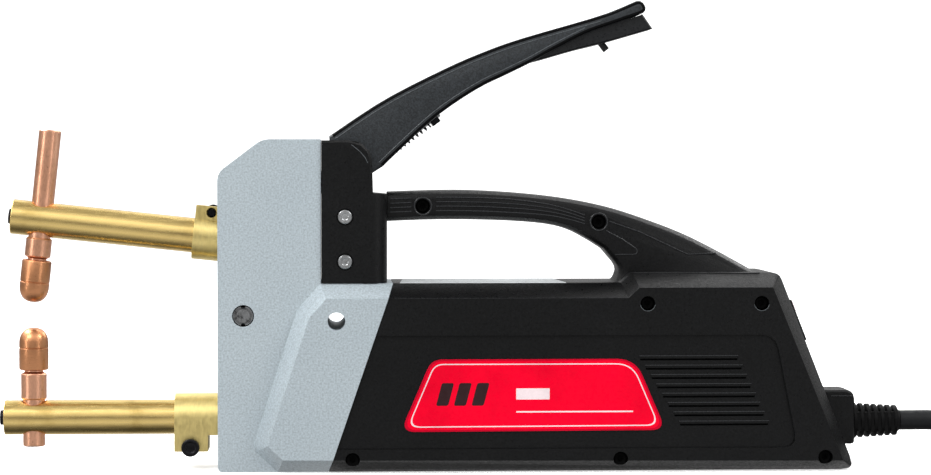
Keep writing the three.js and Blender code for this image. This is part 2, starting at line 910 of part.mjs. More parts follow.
const upper = new THREE.Group();
upper.position.set(ARM_PIVOT.x, 0, ARM_PIVOT.z);
upper.rotation.y = OPEN_TILT;
welder.add(upper);
part("arm_pivot_pin", notchedPin(ARM_PIVOT, 5.6, PLATE_HALF - 0.1), STEEL, welder);
part("upper_arm_holder", upperHolder(), BRASS, upper);
part("upper_clamp_screw", mirrorY(clampScrew({ x: -23.4, z: 53 }, 9.2, 4.2, 2.5)), BLACK_STEEL, upper);
part("upper_arm", upperArm(), BRASS, upper);
part("upper_end_screw", endScrew(ARM_ABOVE_PIVOT, -133.1, TIP_FROM_PIVOT - 6.7), BLACK_STEEL, upper);
const upperTipZ = -5.9;
const raise = [TIP_FROM_PIVOT, 0, upperTipZ];
part("upper_electrode", electrode(35.2, 94.4).translate(raise), COPPER, upper);
part("upper_cap", cap().translate(raise), COPPER, upper);
part("link_pin_arm", barY(LINK_ARM, PIN_RADIUS, -9, 9), STEEL, upper);

const lowered = [LOWER_TIP.x, 0, LOWER_TIP.z];
part("lower_arm_holder", lowerHolder(), BRASS, welder);
part("lower_clamp_screw", clampScrew({ x: -143.4, z: 12 }, 13, 4.9, 2.8), BLACK_STEEL, welder);
part("lower_arm", lowerArm(), BRASS, welder);
part("lower_end_screw", endScrew(LOWER_ARM_Z, LOWER_END, LOWER_TIP.x - 6.7), BLACK_STEEL, welder);
const lowerElectrode = electrode(39, 64.8).rotate([180, 0, 0]).translate(lowered);
part("lower_electrode", lowerElectrode, COPPER, welder);
part("lower_cap", cap().rotate([180, 0, 0]).translate(lowered), COPPER, welder);

part("lever", lever(), LEVER_PLASTIC, welder);
part("lever_insert", leverInsert(), LEVER_PLASTIC, welder);
part("lever_pivot_pin", barY(LEVER_PIVOT, PIN_RADIUS, -COLUMN_HALF + 2, COLUMN_HALF - 2), STEEL, welder);
part("link_pin_lever", barY(LINK_LEVER, PIN_RADIUS, -LEVER_HALF, LEVER_HALF), STEEL, welder);

const linkEnd = new THREE.Vector3(LINK_ARM.x, 0, LINK_ARM.z);
upper.updateMatrix();
linkEnd.applyMatrix4(upper.matrix);
const link = new THREE.Group();
link.position.set(LINK_LEVER.x, 0, LINK_LEVER.z);
link.rotation.y = Math.atan2(linkEnd.z - LINK_LEVER.z, LINK_LEVER.x - linkEnd.x);
welder.add(link);
const linkLength = Math.hypot(linkEnd.x - LINK_LEVER.x, linkEnd.z - LINK_LEVER.z);
part("push_link", pushLink(linkLength), STEEL, link);

const pressure = new THREE.Group();
pressure.position.set(SPRING_START.x, 0, SPRING_START.z);
pressure.rotation.y = Math.PI / 2 - SPRING_TILT;
welder.add(pressure);
part("pressure_rod", turned([[0, 3.2], [3, 3.2], [3, 36], [0, 36]], 16), BLACK_STEEL, pressure);
part("pressure_spring", pressureSpring().translate([0, 0, 4.8]), BLACK_STEEL, pressure);
const nut = cut(block(-5, 5, -5, 5, 29.2, 34.2), bar([0, 0, 20], [0, 0, 40], 3.3, 16));
part("pressure_nut", nut, BLACK_STEEL, pressure);

part("transformer_core", transformerCore(), LAMINATION, welder);
part("primary_winding", winding(36, 26.4, 50.4), VARNISH, welder);
part("secondary_turn", secondaryTurn(), COPPER, welder);
part("flexible_shunt", flexibleShunt(), COPPER, welder);
part("control_board", block(100, 165, 24, 25.6, 15, 70), BOARD_GREEN, welder);
part("timer_potentiometer", dialBar(8, -17, -9.4, 16), STEEL, welder);
part("timer_dial", timerDial(), BLACK_PLASTIC, welder);
const switchBody = cut(block(84, 102, -5, 5, 123.5, 131.4), barY0(SWITCH_X, 2, 122, 140, 12));
part("microswitch", switchBody, BLACK_PLASTIC, welder);
const button = union(barY0(SWITCH_X, 4, 134, BUTTON_TOP), barY0(SWITCH_X, 1.6, 126, 135, 12));
part("switch_button", button, STEEL, welder);

const labelShape = outline([
  [-30.1, 22.3, 8],
  [112.8, 22.8, 8],
  [96.2, 61.3, 10],
  [-13.4, 61.3, 6],
]);
const labelFace = HALF_WIDTH - RECESS + GAP;
const label = slab(labelShape, -labelFace - 0.6, -labelFace);
part("label_near", label, LABEL_RED, welder);
part("label_far", mirrorY(label), LABEL_RED, welder);

part("cable_gland", cableGland(), BLACK_PLASTIC, welder);
part("strain_relief", strainRelief(), RUBBER, welder);
part("power_cord", tube(CABLE_ROUTE), RUBBER, welder);
part("cord_coil", hank(), RUBBER, welder);
part("cord_tail", tube(TAIL_ROUTE), RUBBER, welder);
part("plug_body", plugBody(), RUBBER, welder);
part("plug_pin_1", plugPin(-9.5), BRASS, welder);
part("plug_pin_2", plugPin(9.5), BRASS, welder);
part("cable_tie", cableTie(), BLACK_PLASTIC, welder);

export default welder;
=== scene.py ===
"""Looks for a hand-held spot welder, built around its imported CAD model. Metres, +Z up."""

import json
import math

import bmesh
import bpy
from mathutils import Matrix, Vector

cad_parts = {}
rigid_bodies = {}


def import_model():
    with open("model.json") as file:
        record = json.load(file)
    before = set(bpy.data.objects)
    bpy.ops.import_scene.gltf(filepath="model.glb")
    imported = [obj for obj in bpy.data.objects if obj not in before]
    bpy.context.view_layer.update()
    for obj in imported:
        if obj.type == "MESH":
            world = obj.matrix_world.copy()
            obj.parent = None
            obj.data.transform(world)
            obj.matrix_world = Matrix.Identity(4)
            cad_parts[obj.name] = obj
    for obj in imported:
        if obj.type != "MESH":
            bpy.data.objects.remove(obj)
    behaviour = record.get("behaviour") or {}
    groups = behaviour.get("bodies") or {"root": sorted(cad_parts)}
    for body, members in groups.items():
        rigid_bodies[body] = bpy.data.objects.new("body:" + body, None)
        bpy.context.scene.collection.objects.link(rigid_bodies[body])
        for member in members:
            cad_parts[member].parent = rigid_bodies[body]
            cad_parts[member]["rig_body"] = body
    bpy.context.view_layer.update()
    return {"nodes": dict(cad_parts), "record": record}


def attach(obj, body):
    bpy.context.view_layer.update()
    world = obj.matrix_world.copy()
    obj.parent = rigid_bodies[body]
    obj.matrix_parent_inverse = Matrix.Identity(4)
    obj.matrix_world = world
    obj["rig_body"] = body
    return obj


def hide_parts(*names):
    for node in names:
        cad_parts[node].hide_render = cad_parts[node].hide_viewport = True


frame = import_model()
nodes = frame["nodes"]

MM = 0.001


def vec(x, y, z):
    """A point given in millimetres."""
    return Vector((x * MM, y * MM, z * MM))


# ---- Camera, floor and light ----


def make_camera():
    data = bpy.data.cameras.new("camera")
    data.sensor_width = 36
    data.lens = 105.46
    data.clip_start, data.clip_end = 0.05, 50
    camera = bpy.data.objects.new("camera", data)
    bpy.context.scene.collection.objects.link(camera)
    azimuth, elevation = math.radians(-2.8), math.radians(1.54)
    back = Vector(
        (
            math.sin(azimuth) * math.cos(elevation),
            -math.cos(azimuth) * math.cos(elevation),
            math.sin(elevation),
        )
    )
    camera.location = vec(6.83, 0, 125.44) + 1.5 * back
    camera.rotation_mode = "QUATERNION"
    camera.rotation_quaternion = (-back).to_track_quat("-Z", "Y")
    bpy.context.scene.camera = camera


def make_light(name, place, aim, width, height, power):
    data = bpy.data.lights.new(name, "AREA")
    data.shape = "RECTANGLE"
    data.size, data.size_y = width, height
    data.energy = power
    light = bpy.data.objects.new(name, data)
    light.location = Vector(place)
    light.rotation_mode = "QUATERNION"
    light.rotation_quaternion = (Vector(aim) - Vector(place)).to_track_quat("-Z", "Y")
    light.visible_camera = False
    bpy.context.scene.collection.objects.link(light)


def make_world():
    """Soft light that comes mostly from a band between the horizon and the zenith."""
    world = bpy.data.worlds.new("studio")
    world.use_nodes = True
    tree = world.node_tree
    background = tree.nodes["Background"]
    background.inputs["Strength"].default_value = 1.3
    coordinates = tree.nodes.new("ShaderNodeTexCoord")
    split = tree.nodes.new("ShaderNodeSeparateXYZ")
    half = tree.nodes.new("ShaderNodeMapRange")
    half.inputs["From Min"].default_value = -1
    ramp = tree.nodes.new("ShaderNodeValToRGB")
    tree.links.new(coordinates.outputs["Generated"], split.inputs[0])
    tree.links.new(split.outputs["Z"], half.inputs["Value"])
    tree.links.new(half.outputs["Result"], ramp.inputs[0])
    tree.links.new(ramp.outputs[0], background.inputs["Color"])
    stops = [
        (0.0, 0.05),
        (0.07, 0.22),
        (0.24, 0.72),
        (0.42, 0.46),
        (0.49, 0.24),
        (0.55, 0.22),
        (0.66, 0.70),
        (0.86, 1.25),
        (0.94, 0.60),
        (1.0, 0.40),
    ]
    while len(ramp.color_ramp.elements) < len(stops):
        ramp.color_ramp.elements.new(0.5)
    for element, (at, level) in zip(ramp.color_ramp.elements, stops):
        element.position = at
        element.color = (level, level, level, 1)
    bpy.context.scene.world = world


def make_floor():
    """Pale paper that curves up into a wall all round, well behind the camera."""
    made = bmesh.new()
    rows = [(0.4, 0), (2, 0), (4, 0), (6.5, 0)]
    for i in range(1, 13):
        a = math.radians(7.5 * i)
        rows.append((6.5 + 2.5 * math.sin(a), 2.5 - 2.5 * math.cos(a)))
    rows.append((9, 9))
    around = 96
    rings = []
    for radius, z in rows:
        turn = [2 * math.pi * i / around for i in range(around)]
        circle = [(radius * math.cos(a), radius * math.sin(a), z) for a in turn]
        rings.append([made.verts.new(point) for point in circle])
    made.faces.new(rings[0])
    for low, high in zip(rings, rings[1:]):
        for i in range(around):
            j = (i + 1) % around
            made.faces.new((low[i], low[j], high[j], high[i]))
    bmesh.ops.recalc_face_normals(made, faces=made.faces)
    mesh = bpy.data.meshes.new("floor")
    made.to_mesh(mesh)
    made.free()
    mesh.shade_smooth()
    sweep = bpy.data.objects.new("floor", mesh)
    bpy.context.scene.collection.objects.link(sweep)
    paper = bpy.data.materials.new("paper")
    paper.use_nodes = True
    shader = paper.node_tree.nodes["Principled BSDF"]
    shader.inputs["Base Color"].default_value = (0.93, 0.93, 0.93, 1)
    shader.inputs["Roughness"].default_value = 0.9
    shader.inputs["Emission Color"].default_value = (1, 1, 1, 1)
    shader.inputs["Emission Strength"].default_value = 0.55
    mesh.materials.append(paper)
    sweep.visible_glossy = False
    sweep.visible_diffuse = False


def make_studio():
    bpy.context.scene.view_settings.view_transform = "Standard"
    bpy.context.scene.view_settings.look = "None"
    make_world()
    make_light("key", (-1.2, -1.2, 1.4), (0, 0, 0.12), 0.8, 0.6, 15)
    make_light("right", (1.3, -0.7, 1.4), (0, 0, 0.12), 0.5, 0.5, 9)
    make_light("left_strip", (-1.7, -1.0, 0.4), (-0.2, 0, 0.12), 0.25, 1.1, 5)
    make_light("right_strip", (1.3, -1.6, 0.4), (-0.1, 0, 0.12), 0.2, 1.1, 3)
    make_light("top", (0.5, 0.6, 1.7), (0.05, 0, 0.12), 1.1, 0.5, 5)
    make_light("back_left", (-1.25, 0.95, 1.45), (0, 0, 0.12), 0.7, 0.6, 16)
    make_light("back_right", (1.2, 1.3, 1.1), (0, 0, 0.12), 0.7, 0.6, 6)
    make_light("facet", (-1.02, 0.15, 1.5), (0.09, 0, 0.1), 0.6, 0.6, 16)
    make_floor()


make_camera()
make_studio()


# ---- Materials ----


class Surface:
    """A material whose shader inputs are fed by procedural nodes."""

    def __init__(self, name, colour, roughness, metallic=0.0, specular=0.5):
        self.material = bpy.data.materials.new(name)
        self.material.use_nodes = True
        self.tree = self.material.node_tree
        self.shader = self.tree.nodes["Principled BSDF"]
        self.set("Base Color", (*colour, 1))
        self.set("Roughness", roughness)
        self.set("Metallic", metallic)
        self.set("Specular IOR Level", specular)
        self.place = self.tree.nodes.new("ShaderNodeTexCoord").outputs["Object"]
        self.normal = None

    def set(self, socket, value):
        self.shader.inputs[socket].default_value = value

    def link(self, output, node, socket):
        self.tree.links.new(output, node.inputs[socket])

    def noise(self, scale, detail=3.0, roughness=0.6, stretch=(1, 1, 1)):
        """Noise with about scale features per metre, drawn out along an axis by its stretch."""
        mapping = self.tree.nodes.new("ShaderNodeMapping")
        mapping.inputs["Scale"].default_value = stretch
        self.link(self.place, mapping, "Vector")
        node = self.tree.nodes.new("ShaderNodeTexNoise")
        node.inputs["Scale"].default_value = scale
        node.inputs["Detail"].default_value = detail
        node.inputs["Roughness"].default_value = roughness
        self.link(mapping.outputs[0], node, "Vector")
        return node.outputs["Fac"]

    def remap(self, value, low, high, to_low, to_high):
        node = self.tree.nodes.new("ShaderNodeMapRange")
        node.inputs["From Min"].default_value = low
        node.inputs["From Max"].default_value = high
        node.inputs["To Min"].default_value = to_low
        node.inputs["To Max"].default_value = to_high
        self.link(value, node, "Value")
        return node.outputs["Result"]

    def colours(self, factor, stops):
        """Colours along factor, as [(position, colour), ...]."""
        node = self.tree.nodes.new("ShaderNodeValToRGB")
        elements = node.color_ramp.elements
        while len(elements) < len(stops):
            elements.new(0.5)
        for element, (at, colour) in zip(elements, stops):
            element.position = at
            element.color = (*colour, 1)
        self.link(factor, node, 0)
        return node.outputs[0]

    def multiply(self, first, second, factor):
        """The first colour darkened by the second, as far as factor says."""
        node = self.tree.nodes.new("ShaderNodeMix")
        node.data_type = "RGBA"
        node.blend_type = "MULTIPLY"
        node.inputs[0].default_value = factor
        self.tree.links.new(first, node.inputs[6])
        self.tree.links.new(second, node.inputs[7])
        return node.outputs[2]

    def bump(self, height, distance, strength=1.0):
        node = self.tree.nodes.new("ShaderNodeBump")
        node.inputs["Distance"].default_value = distance
        node.inputs["Strength"].default_value = strength
        self.link(height, node, "Height")
        if self.normal is not None:
            self.link(self.normal, node, "Normal")
        self.normal = node.outputs[0]
        self.link(self.normal, self.shader, "Normal")

    def feed(self, socket, output):
        self.link(output, self.shader, socket)


def shade(colour, factor):
    return tuple(c * factor for c in colour)


def grey_paint():
    """Powder coat on pressed steel: a fine orange peel with a little metal flake."""
    base = (0.445, 0.507, 0.54)
    made = Surface("grey_paint", base, 0.42, 0.15)
    flake = made.noise(1000, 2)
    stops = [(0.3, shade(base, 0.76)), (0.5, base), (0.72, shade(base, 1.2))]
    cloud = made.colours(made.noise(14, 3), [(0.3, (0.93, 0.94, 0.95)), (0.7, (1, 1, 1))])
    made.feed("Base Color", made.multiply(made.colours(flake, stops), cloud, 1.0))
    made.feed("Roughness", made.remap(made.noise(35, 4), 0.3, 0.7, 0.36, 0.5))
    made.bump(made.noise(260, 2), 0.00004)
    made.bump(made.noise(1500, 2), 0.00005)
    return made.material


def moulded_plastic(name, base, rough, grain, depth, specular=0.3, speck=0.25):
    """Plastic with the fine grain that an eroded mould leaves, a little uneven in its gloss."""
    made = Surface(name, base, rough, 0, specular)
    cloud = made.noise(22, 4)
    soft = made.colours(cloud, [(0.3, shade(base, 0.85)), (0.7, shade(base, 1.2))])
    low = (1 - speck,) * 3
    fine = made.colours(made.noise(grain * 0.8, 2), [(0.35, low), (0.65, (1, 1, 1))])
    made.feed("Base Color", made.multiply(soft, fine, 1.0))
    gloss = made.noise(grain * 0.55, 3)
    made.feed("Roughness", made.remap(gloss, 0.3, 0.7, rough - 0.11, rough + 0.14))
    made.bump(made.noise(grain, 3), depth)
    return made.material


def metal(
    name, base, rough, tarnish, grain=(1, 1, 1), scale=900, depth=0.00001, spread=0.12, blotch=38
):
    """Metal with a soft stain and fine tool marks drawn out along the grain."""
    made = Surface(name, base, rough, 1.0)
    stain = made.noise(blotch, 6, 0.62)
    lines = made.noise(scale, 4, 0.6, grain)
    stops = [(0.30, tarnish), (0.48, base), (0.75, shade(base, 1.08))]
    marks = made.colours(lines, [(0.3, (0.86, 0.85, 0.83)), (0.6, (1, 1, 1))])
    made.feed("Base Color", made.multiply(made.colours(stain, stops), marks, 0.8))
    made.feed("Roughness", made.remap(lines, 0.3, 0.75, rough - spread / 2, rough + spread))
    made.bump(lines, depth)
    return made.material


GREY = grey_paint()
BLACK = moulded_plastic("black_plastic", (0.0048, 0.0050, 0.0054), 0.36, 1300, 0.00015, 0.2, 0.6)
# Lighter and glossier than the shell plastic, for its raised lines, rims, lips and creases: the
# lighter colour is a painted highlight on them.
RIDGE_HIGHLIGHT = moulded_plastic("ridge_painted_highlight", (0.013, 0.014, 0.016), 0.26, 1300, 0.00002, 0.45, 0.1)
# Darker than the lever plastic: painted shade on the insert under the lever.
INSERT_SHADED = moulded_plastic("insert_plastic_painted_shade", (0.007, 0.008, 0.0095), 0.34, 1300, 0.0001, 0.35, 0.4)
# Near-black with almost no gloss, darker than the lever: painted shade on the lever's rounded
# edges.
LEVER_EDGE_SHADE = moulded_plastic("lever_edge_painted_shade", (0.002, 0.0023, 0.0026), 0.5, 1300, 0.00003, 0.06, 0.1)
# Light grey lines on dark plastic: painted highlights on the screw hole rims, the column's rounded
# corner and the lever's edges.
HIGHLIGHT_LINE = moulded_plastic("painted_highlight_line", (0.085, 0.097, 0.105), 0.3, 1300, 0.00002, 0.5, 0.3)
# Near-black and without gloss: black screws, darkened further as painted shade in their deep holes.
SCREW_SHADED_BLACK = moulded_plastic("screw_black_painted_shade", (0.0012, 0.0012, 0.0013), 0.7, 900, 0.00002, 0.05, 0.1)
LEVER = moulded_plastic("lever_plastic", (0.024, 0.0285, 0.033), 0.40, 1300, 0.00015, 0.4, 0.6)
RUBBER = moulded_plastic("rubber", (0.006, 0.007, 0.008), 0.5, 900, 0.00004, 0.22)
RELIEF = moulded_plastic("relief_rubber", (0.0018, 0.0018, 0.002), 0.5, 900, 0.00004, 0.12)
BRASS = metal("brass", (0.79, 0.58, 0.22), 0.22, (0.58, 0.405, 0.13), (0.12, 1, 1), 700)
BRASS_TURNED = metal("brass_turned", (0.86, 0.69, 0.28), 0.34, (0.75, 0.57, 0.2), (1, 0.3, 0.3))
COPPER = metal("copper", (0.82, 0.43, 0.275), 0.33, (0.66, 0.33, 0.20), (1, 1, 0.5), 1300)
COPPER_CAP = metal("copper_cap", (0.59, 0.27, 0.13), 0.33, (0.48, 0.21, 0.1), (0.4, 0.4, 1.5), 1500)
BLACK_STEEL = metal("black_steel", (0.02, 0.02, 0.022), 0.30, (0.012, 0.012, 0.013))
STEEL = metal("steel", (0.50, 0.51, 0.52), 0.30, (0.40, 0.41, 0.42), (1, 1, 1), 600)
PIN_STAIN = (0.05, 0.05, 0.052)
PIN_STEEL = metal(
    "pin_steel", (0.24, 0.245, 0.25), 0.42, PIN_STAIN, (1, 1, 1), 900, 0.0001, 0.3, 420
)
LAMINATION = metal("laminated_steel", (0.2, 0.2, 0.21), 0.45, (0.1, 0.1, 0.1), (1, 1, 30))
WIRE = moulded_plastic("varnished_wire", (0.28, 0.09, 0.03), 0.25, 500, 0.0002, 0.5)
BOARD = moulded_plastic("board", (0.02, 0.12, 0.05), 0.35, 500, 0.00005, 0.5)
RED = moulded_plastic("label_red", (0.90, 0.0, 0.024), 0.3, 900, 0.000006, 0.08, 0.04)
RED_EDGE = moulded_plastic("label_edge", (0.55, 0.0, 0.02), 0.3, 900, 0.000006, 0.1, 0.04)
WHITE = moulded_plastic("label_white", (0.86, 0.72, 0.74), 0.4, 900, 0.000006, 0.3, 0.06)
DARK_INK = moulded_plastic("label_dark", (0.028, 0.008, 0.01), 0.4, 900, 0.000006, 0.25, 0.06)
SILVER = moulded_plastic("label_silver", (0.50, 0.53, 0.54), 0.35, 900, 0.000006, 0.4, 0.06)

FINISH = {
    "grey_paint": GREY,
    "black_plastic": BLACK,
    "lever_plastic": LEVER,
    "brass": BRASS,
    "copper": COPPER,
    "black_steel": BLACK_STEEL,
    "steel": STEEL,
    "laminated_steel": LAMINATION,
    "varnished_wire": WIRE,
    "board": BOARD,
    "label": RED,
    "rubber": RUBBER,
}


# ---- CAD nodes that stay ----

SLOT_OF = {s["node"]: s["material_slot"] for s in frame["record"]["subparts"]}
ROUNDING = {
    "front_cover_near": 0.5,
    "front_cover_far": 0.5,
    "housing_near": 0.6,
    "housing_far": 0.6,
    "column_near": 0.5,
    "column_far": 0.5,
    "lever": 0.4,
    "upper_arm": 0.6,
    "lower_arm": 0.6,
    "cable_gland": 0.9,
    "cable_tie": 0.2,
}
OWN_FINISH = {
    "upper_arm_holder": BRASS_TURNED,
    "lower_arm_holder": BRASS_TURNED,
    "lever_insert": INSERT_SHADED,
    "cable_tie": BLACK,
}


def polish(name):
    """Gives a CAD node small rounded edges and its material."""
    node = nodes[name]
    if "custom_normal" in node.data.attributes:
        node.data.attributes.remove(node.data.attributes["custom_normal"])
    node.data.shade_smooth()
    weld = node.modifiers.new("weld", "WELD")
    weld.merge_threshold = 1e-6
    bevel = node.modifiers.new("bevel", "BEVEL")
    bevel.width = ROUNDING.get(name, 0.3) * MM
    bevel.segments = 2
    bevel.limit_method = "ANGLE"
    bevel.angle_limit = math.radians(34)
    bevel.harden_normals = True
    bevel.miter_outer = "MITER_ARC"
    node.data.materials.clear()
    node.data.materials.append(OWN_FINISH.get(name, FINISH[SLOT_OF[name]]))


for node_name in nodes:
    polish(node_name)


# ---- Mesh helpers ----


def add_piece(name, data, body, material, replaced=()):
    data.materials.clear()
    data.materials.append(material)
    piece = bpy.data.objects.new(name, data)
    bpy.context.scene.collection.objects.link(piece)
    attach(piece, body)
    if replaced:
        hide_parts(*replaced)
    return piece


def finish_mesh(made, name, sharp=32):
    bmesh.ops.recalc_face_normals(made, faces=made.faces)
    mesh = bpy.data.meshes.new(name)
    made.to_mesh(mesh)
    made.free()
    mesh.shade_smooth()
    mesh.set_sharp_from_angle(angle=math.radians(sharp))
    return mesh


def bridge(made, rings):
    """Joins each ring of vertices to the next one with a band of faces."""
    for low, high in zip(rings, rings[1:]):
        count = max(len(low), len(high))
        for i in range(count):
            j = (i + 1) % count
            below = [low[i % len(low)], low[j % len(low)]]
            above = [high[j % len(high)], high[i % len(high)]]
            made.faces.new(list(dict.fromkeys(below + above)))


def lathe(made, profile, origin, direction, segments=64, shape=None):
    """Adds a surface of revolution. The profile's [radius, distance along direction] are in mm,
    and shape(radius, angle, row) may change a ring's radius as it goes round."""
    turn = Vector((0, 0, 1)).rotation_difference(Vector(direction).normalized())
    rings = []
    for row, (radius, along) in enumerate(profile):
        if radius < 1e-6:
            rings.append([made.verts.new(origin + turn @ vec(0, 0, along))])
            continue
        ring = []
        for i in range(segments):
            a = 2 * math.pi * i / segments
            reach = shape(radius, a, row) if shape else radius
            spoke = vec(reach * math.cos(a), reach * math.sin(a), along)
            ring.append(made.verts.new(origin + turn @ spoke))
        rings.append(ring)
    bridge(made, rings)


def turned(name, profile, origin, direction, replaced, material, shape=None, segments=64):
    """A turned piece in place of a CAD node, on that node's body."""
    made = bmesh.new()
    lathe(made, profile, origin, direction, segments, shape)
    body = nodes[replaced]["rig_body"]
    return add_piece(name, finish_mesh(made, name), body, material, [replaced])


def rounded(corners, inset=0.0, steps=7):
    """A closed outline of [x, z, reach] corners, moved inwards by inset, each corner rounded."""
    count = len(corners)
    centre = Vector([sum(c[i] for c in corners) / count for i in (0, 1)])
    sharp = []
    for i in range(count):
        here, before, after = (Vector(corners[k % count][:2]) for k in (i, i - 1, i + 1))
        normals = []
        for side in (here - before, after - here):
            normal = Vector((-side.y, side.x)).normalized()
            normals.append(normal if normal.dot(centre - here) > 0 else -normal)
        both = normals[0] + normals[1]
        sharp.append(here + both * (inset / both.dot(normals[0])))
    points = []
    for i in range(count):
        reach = max(corners[i][2] - 0.5 * inset, 0.05)
        here, before, after = sharp[i], sharp[i - 1], sharp[(i + 1) % count]
        start = here + (before - here).normalized() * reach
        end = here + (after - here).normalized() * reach
        for k in range(steps + 1):
            t = k / steps
            points.append(start * (1 - t) ** 2 + here * (2 * t * (1 - t)) + end * t**2)
    return points


def plate(made, outline, low, high, side, edge=0.15):
    """Adds a thin plate of an outline in x and z, from y = low to high on one side (-1 or 1)."""
    middle = sum(outline, Vector((0, 0))) / len(outline)
    rings = []
    for y, inset in ((low, 0), (high - edge, 0), (high, edge)):
        ring = []
        for point in outline:
            moved = point + (middle - point).normalized() * inset
            ring.append(made.verts.new(vec(moved.x, side * y, moved.y)))
        rings.append(ring)
    bridge(made, rings)
    made.faces.new(rings[0])
    made.faces.new(rings[-1])


def ribbon(made, outer, inner, low, high, side):
    """Adds a thin raised line between two outlines with equally many points."""
    rings = [
        [made.verts.new(vec(p.x, side * y, p.y)) for p in outline]
        for outline, y in ((outer, low), (outer, high), (inner, high), (inner, low))
    ]
    bridge(made, rings + [rings[0]])


def wires(name, routes, radius, body, material, closed=False):
    """Round beads along routes of points in mm, as one curve."""
    data = bpy.data.curves.new(name, "CURVE")
    data.dimensions = "3D"
    data.bevel_depth = radius * MM
    data.bevel_resolution = 3
    data.use_fill_caps = True
    for route in routes:
        spline = data.splines.new("POLY")
        spline.points.add(len(route) - 1)
        for point, place in zip(spline.points, route):
            point.co = (*vec(*place), 1)
        spline.use_cyclic_u = closed
    return add_piece(name, data, body, material)


# ---- Arms and electrodes ----

TILT = math.radians(6.05)
ARM_PIVOT = (-114.3, 84.2)
ALONG_ARM = Vector((math.cos(TILT), 0, -math.sin(TILT)))
UP_FROM_ARM = Vector((math.sin(TILT), 0, math.cos(TILT)))


def on_arm(x, z, y=0.0):
    """A point of the upper arm's own frame, in the part's frame."""
    return vec(ARM_PIVOT[0], y, ARM_PIVOT[1]) + x * MM * ALONG_ARM + z * MM * UP_FROM_ARM


CAP_PROFILE = [
    [0, 0],
    [1.6, 0.06],
    [3.2, 0.42],
    [4.7, 1.15],
    [6.0, 2.35],
    [7.0, 3.9],
    [7.65, 5.7],
    [7.95, 7.6],
    [8, 10.6],
    [7.72, 10.85],
    [7.72, 11.1],
    [8, 11.35],
    [8, 22.1],
    [7.75, 22.75],
    [7.1, 23.1],
    [5.3, 23.1],
    [5.3, 11],
    [0, 11],
]


def shank_profile(shoulder_end, end):
    return [
        [0, 11.4],
        [5, 11.4],
        [5, 23.9],
        [5.6, 24.5],
        [6.6, 24.9],
        [7, 25.5],
        [7, shoulder_end - 0.6],
        [6.5, shoulder_end],
        [6, shoulder_end + 0.1],
        [6, end - 0.7],
        [5.4, end],
        [0, end],
    ]


def make_electrodes():
    tip = on_arm(-115.5, -5.9)
    turned("cap_upper", CAP_PROFILE, tip, UP_FROM_ARM, "upper_cap", COPPER_CAP)
    shank = shank_profile(35.2, 94.4)
    turned("rod_upper", shank, tip, UP_FROM_ARM, "upper_electrode", COPPER)
    tip = vec(-229.3, 0, 76.5)
    turned("cap_lower", CAP_PROFILE, tip, (0, 0, -1), "lower_cap", COPPER_CAP)
    shank = shank_profile(39, 64.8)
    turned("rod_lower", shank, tip, (0, 0, -1), "lower_electrode", COPPER)


# ---- Screws and pins ----


def hexagon(rows):
    """A ring shape that is hexagonal on some rows of a profile."""

    def shape(radius, angle, row):
        if row not in rows:
            return radius
        part = (angle + math.pi / 6) % (math.pi / 3) - math.pi / 6
        return radius / math.cos(part)

    return shape


def socket_screw(name, origin, direction, radius, height, socket, replaced, material, shank):
    """A socket screw whose head stands on origin and faces along direction."""
    profile = [
        [0, -shank],
        [radius * 0.46, -shank],
        [radius * 0.46, 0],
        [radius * 0.94, 0],
        [radius, 0.25],
        [radius, height - 0.7],
        [radius * 0.96, height - 0.3],
        [radius * 0.86, height],
        [socket * 1.32, height],
        [socket * 1.2, height - 0.22],
        [socket, height - 0.35],
        [socket, height * 0.35],
        [0, height * 0.22],
    ]
    turned(name, profile, origin, direction, replaced, material, hexagon((10, 11)), 72)


def notched(radius, angle, row):
    """The pin's rim, cut in by two spanner notches above and below its centre."""
    across = radius * math.cos(angle)
    return 3.95 if row in (4, 5, 6) and abs(across) < 1.1 else radius


def make_screws():
    for side, label in ((-1, "near"), (1, "far")):
        for i, z in enumerate((137.4, 113.2)):
            node = f"column_screw_{label}_{i + 1}"
            seat = vec(-59.5, side * 29.9, z)
            name = f"socket_screw_{label}_{i + 1}"
            socket_screw(name, seat, (0, side, 0), 3.9, 1.8, 1.55, node, STEEL, 9)
    screws = {
        1: (-17.2, 143, 17),
        2: (78.8, 134.3, 17),
        3: (102.8, 91, 42),
        4: (164.4, 91, 42),
        5: (-55.6, 7.4, 42),
        6: (88.3, 7.4, 42),
        7: (199.2, 7.8, 42),
    }
    for number, (x, z, face) in screws.items():
        seat = vec(x, 6 - face - 0.3, z)
        node = f"housing_screw_{number}"
        name = f"shell_screw_{number}"
        socket_screw(name, seat, (0, -1, 0), 3.5, 2.9, 1.4, node, SCREW_SHADED_BLACK, 12)
    seat = vec(-143.4, -13.3, 12)
    socket_screw(
        "clamp_screw_lower", seat, (0, -1, 0), 4.9, 4.7, 2.4, "lower_clamp_screw",
        BLACK_STEEL, 24,
    )
    socket_screw(
        "clamp_screw_upper", on_arm(-23.4, 53, 9.5), (0, 1, 0), 4.2, 4.7, 2.0, "upper_clamp_screw",
        BLACK_STEEL, 19.2,
    )
    pin = [
        [0, 0.25],
        [3.7, 0.25],
        [3.9, 0.7],
        [4.4, 0.7],
        [4.6, 0],
        [5.2, 0],
        [5.5, 0.4],
        [5.5, 59.1],
        [4.4, 59.8],
        [0, 59.8],
    ]
    start = vec(ARM_PIVOT[0], -29.9, ARM_PIVOT[1])
    turned("pivot_pin", pin, start, (0, 1, 0), "arm_pivot_pin", PIN_STEEL, notched, 96)


# ---- Labels ----

LABEL = [[-30.1, 22.3, 8], [112.8, 22.8, 8], [96.2, 61.3, 10], [-13.4, 61.3, 6]]
LABEL_BACK = 40.9
LABEL_FACE = 41.5


